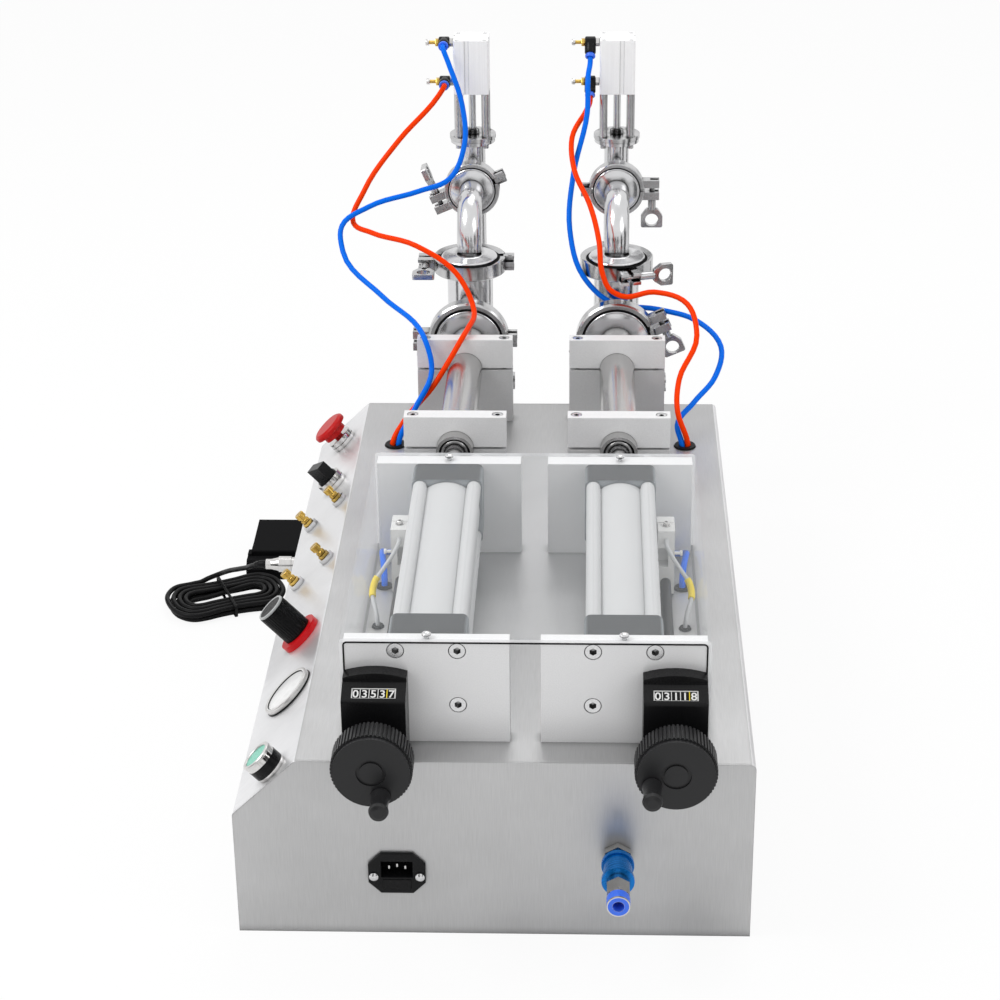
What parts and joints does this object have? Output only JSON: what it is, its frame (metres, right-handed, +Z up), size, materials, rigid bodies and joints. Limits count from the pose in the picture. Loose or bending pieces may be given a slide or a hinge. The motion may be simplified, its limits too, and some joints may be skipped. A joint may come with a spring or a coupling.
{
  "type": "liquid filling machine",
  "caption": "Bench-top pneumatic piston filler with handwheel stroke setting, clear guard, clamped pipework, lifting nozzles, sloping control panel and a foot pedal.",
  "frame": {"origin": "centre of the cabinet's underside, on the table", "axes": "+Z up, -Y towards the handwheels and supply inlets, +Y towards the nozzles, controls on the -X side"},
  "size_m": [0.6119, 1.0685, 0.538],
  "materials": {
    "brushed_sheet": "satin brushed stainless sheet",
    "polished_steel": "polished stainless pipe",
    "cast_steel": "satin cast stainless",
    "screw_steel": "satin stainless",
    "nickel": "nickel plated",
    "machined_alloy": "fine milled, clear anodised",
    "cylinder_alloy": "satin anodised extrusion",
    "cap_alloy": "grey cast alloy",
    "clear_acrylic": "clear, polished",
    "black_plastic": "moulded, fine grain",
    "grey_plastic": "moulded",
    "white_plastic": "smooth",
    "red_plastic": "glossy moulded",
    "green_plastic": "glossy moulded",
    "blue_anodised": "blue anodised",
    "blue_tube": "polyurethane tube",
    "orange_tube": "polyurethane tube",
    "brass": "machined",
    "black_rubber": "soft matt"
  },
  "bodies": {
    "machine": {"cabinet_wrap": "brushed_sheet", "chassis_tray": "brushed_sheet", "deck_grommets": "black_rubber", "switch_collars": "nickel", "throttle_nuts": "screw_steel", "regulator_collar": "red_plastic", "gauge_case": "white_plastic", "power_inlet": "black_plastic", "air_fitting": "nickel", "guard_cover": "clear_acrylic", "fixing_screws": "screw_steel", "mount_plates": "machined_alloy", "drive_caps": "cap_alloy", "drive_barrels": "cylinder_alloy", "split_block_bases": "machined_alloy", "split_block_caps": "machined_alloy", "metering_tubes": "polished_steel", "valve_bodies": "polished_steel", "check_balls": "white_plastic", "outlet_elbows": "polished_steel", "nozzle_bodies": "polished_steel", "lift_frames": "cast_steel", "lift_cylinders": "cylinder_alloy", "flow_controls": "black_plastic", "counter_housings": "black_plastic", "pipe_clamps": "cast_steel", "inlet_barbs": "polished_steel", "solenoid_valves": "grey_plastic", "guard_lines": "blue_tube", "left_blue_tube": "blue_tube", "left_red_tube": "orange_tube", "right_blue_tube": "blue_tube", "right_red_tube": "orange_tube", "pedal_lead": "black_rubber", "pedal_hank": "black_rubber", "hank_ties": "black_plastic", "pedal_plug": "nickel", "pedal_base": "grey_plastic"},
    "left_wheel": {"left_handwheel": "black_plastic"},
    "right_wheel": {"right_handwheel": "black_plastic"},
    "left_grip": {"left_grip": "black_plastic"},
    "right_grip": {"right_grip": "black_plastic"},
    "left_slide": {"left_sensor_slide": "machined_alloy"},
    "right_slide": {"right_sensor_slide": "machined_alloy"},
    "left_piston": {"left_piston_rod": "polished_steel"},
    "right_piston": {"right_piston_rod": "polished_steel"},
    "left_nozzle_plunger": {"left_plunger": "polished_steel"},
    "right_nozzle_plunger": {"right_plunger": "polished_steel"},
    "stop_button": {"estop_head": "red_plastic"},
    "selector": {"selector_knob": "black_plastic"},
    "start_button": {"start_button": "green_plastic"},
    "throttle_1": {"throttle_screw_1": "brass"},
    "throttle_2": {"throttle_screw_2": "brass"},
    "throttle_3": {"throttle_screw_3": "brass"},
    "throttle_4": {"throttle_screw_4": "brass"},
    "regulator": {"regulator_knob": "black_plastic"},
    "needle": {"gauge_needle": "screw_steel"},
    "fuse_drawer": {"fuse_drawer": "grey_plastic"},
    "air_sleeve": {"valve_sleeve": "blue_anodised"},
    "tread": {"pedal_tread": "black_plastic"}
  },
  "joints": [
    {"name": "left_wheel_turn", "type": "hinge", "parent": "machine", "child": "left_wheel", "pos_m": [-0.098, -0.407, 0.187], "axis": [0, 1, 0], "range_deg": [0, 2880]},
    {"name": "left_slide_travel", "type": "slide", "parent": "machine", "child": "left_slide", "axis": [0, 1, 0], "range_m": [0, 0.04]},
    {"name": "left_grip_spin", "type": "hinge", "parent": "left_wheel", "child": "left_grip", "pos_m": [-0.0904, -0.434, 0.1654], "axis": [0, 1, 0], "continuous": true},
    {"name": "left_piston_stroke", "type": "slide", "parent": "machine", "child": "left_piston", "axis": [0, 1, 0], "range_m": [0, 0.1]},
    {"name": "left_nozzle_lift", "type": "slide", "parent": "machine", "child": "left_nozzle_plunger", "axis": [0, 0, 1], "range_m": [0, 0.012]},
    {"name": "right_wheel_turn", "type": "hinge", "parent": "machine", "child": "right_wheel", "pos_m": [0.154, -0.407, 0.187], "axis": [0, 1, 0], "range_deg": [0, 2880]},
    {"name": "right_slide_travel", "type": "slide", "parent": "machine", "child": "right_slide", "axis": [0, 1, 0], "range_m": [0, 0.04]},
    {"name": "right_grip_spin", "type": "hinge", "parent": "right_wheel", "child": "right_grip", "pos_m": [0.1339, -0.434, 0.1775], "axis": [0, 1, 0], "continuous": true},
    {"name": "right_piston_stroke", "type": "slide", "parent": "machine", "child": "right_piston", "axis": [0, 1, 0], "range_m": [0, 0.1]},
    {"name": "right_nozzle_lift", "type": "slide", "parent": "machine", "child": "right_nozzle_plunger", "axis": [0, 0, 1], "range_m": [0, 0.012]},
    {"name": "stop_push", "type": "slide", "parent": "machine", "child": "stop_button", "axis": [0.6941, 0, -0.7198], "range_m": [0, 0.004]},
    {"name": "selector_turn", "type": "hinge", "parent": "machine", "child": "selector", "pos_m": [-0.18846, 0.208, 0.15283], "axis": [-0.6941, 0, 0.7198], "range_deg": [-90, 0]},
    {"name": "start_push", "type": "slide", "parent": "machine", "child": "start_button", "axis": [0.6941, 0, -0.7198], "range_m": [0, 0.003], "stiffness_N_per_m": 600, "springref_m": -0.002},
    {"name": "throttle_turn_1", "type": "hinge", "parent": "machine", "child": "throttle_1", "pos_m": [-0.17694, 0.145, 0.16393], "axis": [-0.6941, 0, 0.7198], "range_deg": [-720, 720]},
    {"name": "throttle_turn_2", "type": "hinge", "parent": "machine", "child": "throttle_2", "pos_m": [-0.20753, 0.145, 0.13443], "axis": [-0.6941, 0, 0.7198], "range_deg": [-720, 720]},
    {"name": "throttle_turn_3", "type": "hinge", "parent": "machine", "child": "throttle_3", "pos_m": [-0.17694, 0.0135, 0.16393], "axis": [-0.6941, 0, 0.7198], "range_deg": [-720, 720]},
    {"name": "throttle_turn_4", "type": "hinge", "parent": "machine", "child": "throttle_4", "pos_m": [-0.20753, 0.0135, 0.13443], "axis": [-0.6941, 0, 0.7198], "range_deg": [-720, 720]},
    {"name": "regulator_turn", "type": "hinge", "parent": "machine", "child": "regulator", "pos_m": [-0.18846, -0.123, 0.15283], "axis": [-0.6941, 0, 0.7198], "range_deg": [-720, 720]},
    {"name": "needle_turn", "type": "hinge", "parent": "machine", "child": "needle", "pos_m": [-0.18846, -0.231, 0.15283], "axis": [-0.6941, 0, 0.7198], "range_deg": [-270, 0]},
    {"name": "fuse_drawer_slide", "type": "slide", "parent": "machine", "child": "fuse_drawer", "axis": [0, -1, 0], "range_m": [0, 0.014]},
    {"name": "air_sleeve_slide", "type": "slide", "parent": "machine", "child": "air_sleeve", "axis": [0, -1, 0], "range_m": [0, 0.006]},
    {"name": "tread_press", "type": "hinge", "parent": "machine", "child": "tread", "pos_m": [-0.267, 0.308, 0.017], "axis": [-1, 0, 0], "range_deg": [0, 6], "stiffness_Nm_per_rad": 2, "springref_deg": -11.46}
  ],
  "couplings": [
    {"joint": "left_slide_travel", "follows": "left_wheel_turn", "m_per_rad": 0.0007957},
    {"joint": "right_slide_travel", "follows": "right_wheel_turn", "m_per_rad": 0.0007957}
  ]
}
